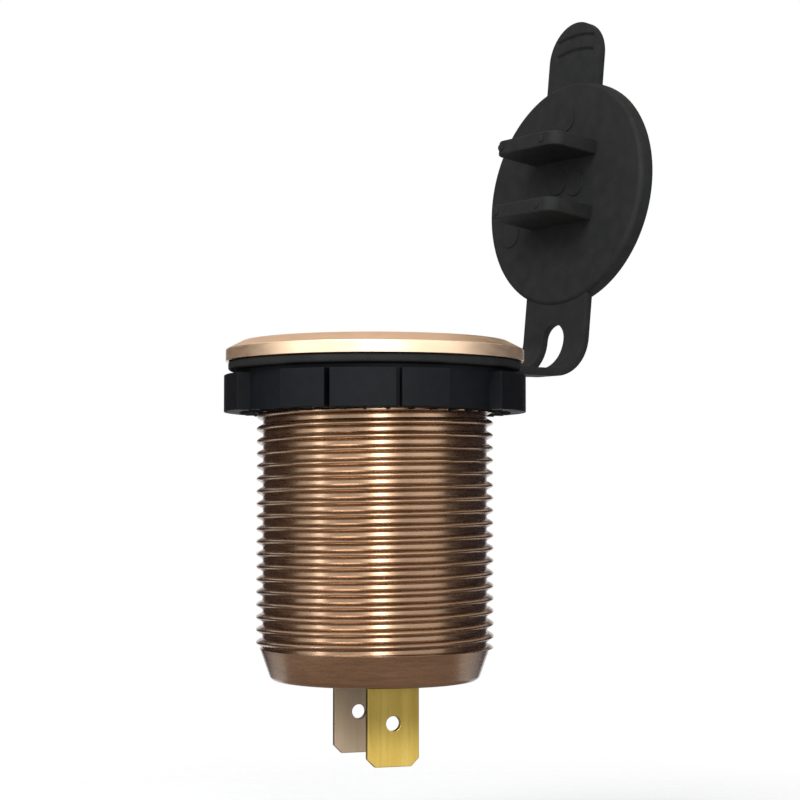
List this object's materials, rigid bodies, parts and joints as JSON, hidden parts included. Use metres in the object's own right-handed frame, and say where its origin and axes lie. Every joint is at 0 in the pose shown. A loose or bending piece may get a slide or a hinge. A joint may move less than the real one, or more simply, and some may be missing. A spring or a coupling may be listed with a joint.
{
  "type": "dual usb socket",
  "caption": "Round panel-mount charging socket: threaded metal barrel with flange, lobed ring nut, rubber dust cap on a strap, blade terminals at the rear.",
  "frame": {"origin": "on the barrel's axis in the plane of the panel's front face, which is the underside of the rubber ring", "axes": "+Z out of the panel towards the user, +X towards the strap of the dust cap, the ports' openings long in Y"},
  "size_m": [0.0518, 0.036, 0.0939],
  "materials": {
    "anodised_aluminium": "rose-bronze anodised and turned, satin",
    "black_nylon": "moulded, fine matte grain",
    "black_rubber": "moulded matte rubber",
    "black_plastic": "moulded, satin",
    "plated_steel": "nickel plated, folded sheet",
    "white_plastic": "moulded, satin",
    "contact_gold": "gold flashed",
    "board_green": "solder mask over glass laminate",
    "ferrite": "sintered, matt",
    "copper_wire": "enamelled copper wire",
    "capacitor_sleeve": "shrink sleeve",
    "chip_mould": "moulded, matt",
    "ceramic_body": "sintered ceramic",
    "brass_blade": "stamped brass, drawn grain",
    "tinned_blade": "stamped and tinned, dull"
  },
  "bodies": {
    "socket": {"housing": "anodised_aluminium", "cap_ring": "black_rubber", "face_insert": "black_plastic", "rear_cover": "black_plastic", "port_shell_near": "plated_steel", "port_shell_far": "plated_steel", "port_tongue_near": "white_plastic", "port_tongue_far": "white_plastic", "port_contacts_near": "contact_gold", "port_contacts_far": "contact_gold", "port_board": "board_green", "power_board": "board_green", "board_pins": "contact_gold", "inductor_core": "ferrite", "inductor_winding": "copper_wire", "input_capacitor": "capacitor_sleeve", "output_capacitor": "capacitor_sleeve", "converter_chip": "chip_mould", "rectifier_diode": "chip_mould", "port_chip": "chip_mould", "input_fuse": "ceramic_body", "chip_capacitors": "ceramic_body", "positive_terminal": "brass_blade", "negative_terminal": "tinned_blade"},
    "cap": {"dust_cap": "black_rubber", "cap_strap": "black_rubber"},
    "nut": {"lock_nut": "black_nylon"}
  },
  "joints": [
    {"name": "cap_hinge", "type": "hinge", "parent": "socket", "child": "cap", "pos_m": [0.0244, 0, 0.00052], "axis": [0, 1, 0], "range_deg": [-96, 60], "stiffness_Nm_per_rad": 0.01, "deforming": ["cap_strap"]},
    {"name": "nut_travel", "type": "slide", "parent": "socket", "child": "nut", "axis": [0, 0, -1], "range_m": [0, 0.0282]}
  ]
}
